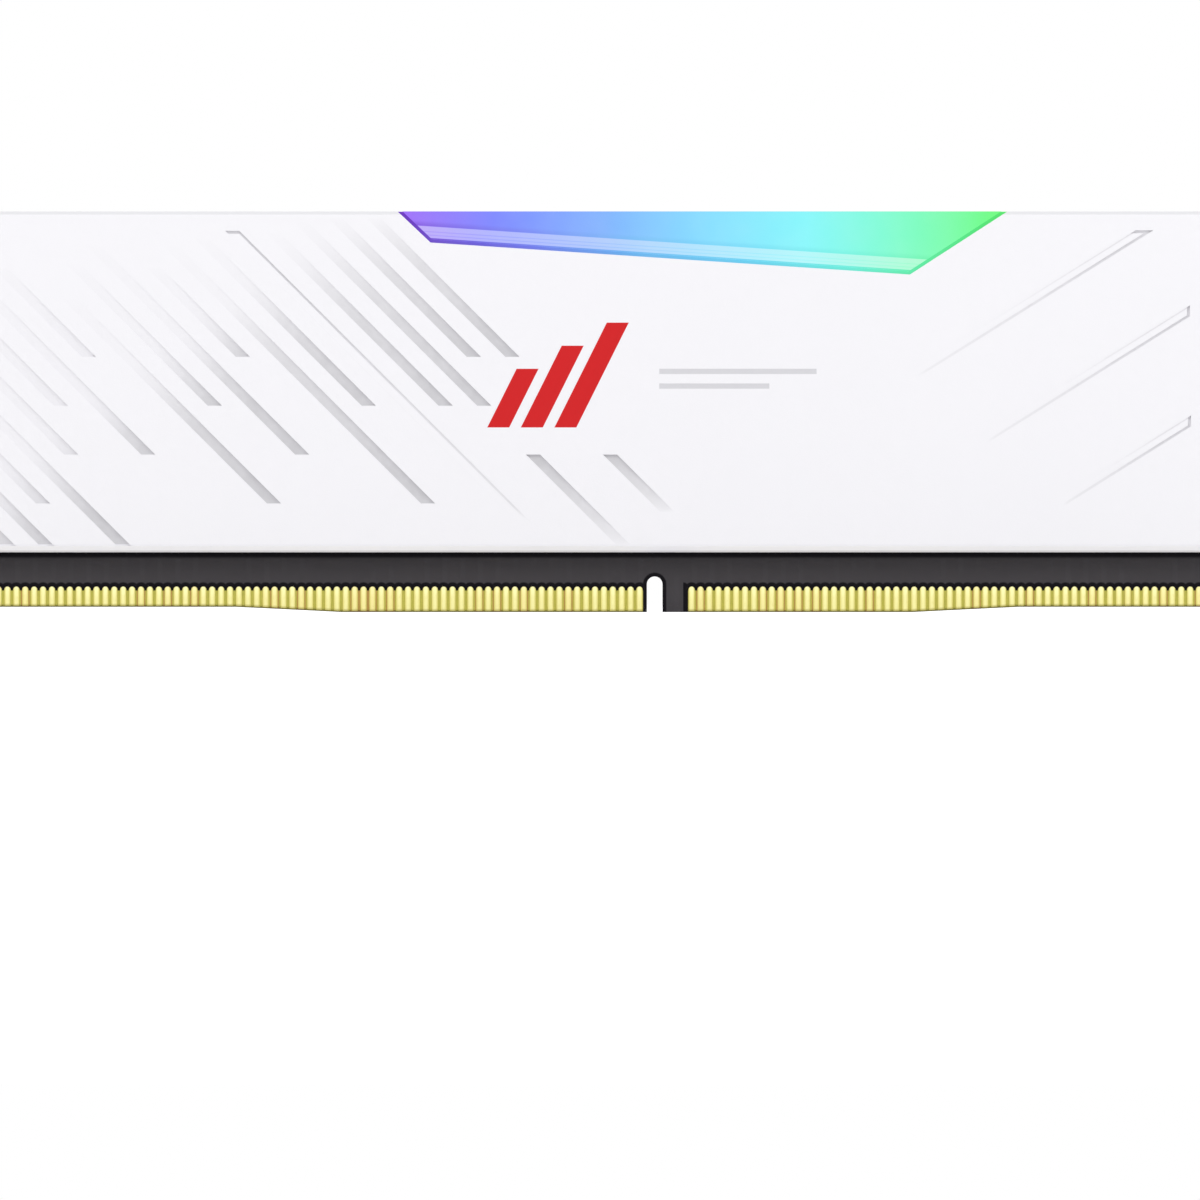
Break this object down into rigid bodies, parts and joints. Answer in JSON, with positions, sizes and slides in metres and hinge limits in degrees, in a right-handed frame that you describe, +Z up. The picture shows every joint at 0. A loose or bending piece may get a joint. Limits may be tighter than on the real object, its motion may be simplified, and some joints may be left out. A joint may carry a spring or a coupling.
{
  "type": "memory module",
  "caption": "Upright desktop memory module: black board with gold edge contacts, chips inside, two white engraved heat spreaders and a milky light bar with slanted windows.",
  "frame": {"origin": "middle of the board's lowest edge, halfway along its length and through its thickness", "axes": "+X along the module, to the right seen from the front; the front looks towards -Y; +Z up out of the slot"},
  "size_m": [0.1334, 0.0078, 0.0382],
  "materials": {
    "board": "black solder mask on glass laminate",
    "contact_gold": "gold plated",
    "chip_package": "moulded black",
    "resistor": "glazed black",
    "capacitor": "fired tan",
    "led_package": "white with clear lens",
    "inductor": "pressed powder",
    "thermal_pad": "soft matt",
    "diffuser": "milky, lit from inside",
    "spreader_white": "smooth white coating"
  },
  "bodies": {
    "root": {"pcb": "board", "contacts_front": "contact_gold", "contacts_back": "contact_gold", "spd_chip": "chip_package", "resistor_arrays": "resistor", "decoupling_capacitors": "capacitor", "bulk_capacitors": "capacitor", "rgb_leds_front": "led_package", "rgb_leds_back": "led_package", "led_controller": "chip_package", "led_power_chip": "chip_package", "led_power_inductor": "inductor", "led_passives": "capacitor", "thermal_pad_front": "thermal_pad", "thermal_pad_back": "thermal_pad", "light_diffuser": "diffuser", "front_heatspreader": "spreader_white", "back_heatspreader": "spreader_white", "dram_chip_1": "chip_package", "dram_chip_2": "chip_package", "dram_chip_3": "chip_package", "dram_chip_4": "chip_package", "dram_chip_5": "chip_package", "dram_chip_6": "chip_package", "dram_chip_7": "chip_package", "dram_chip_8": "chip_package"}
  },
  "joints": []
}
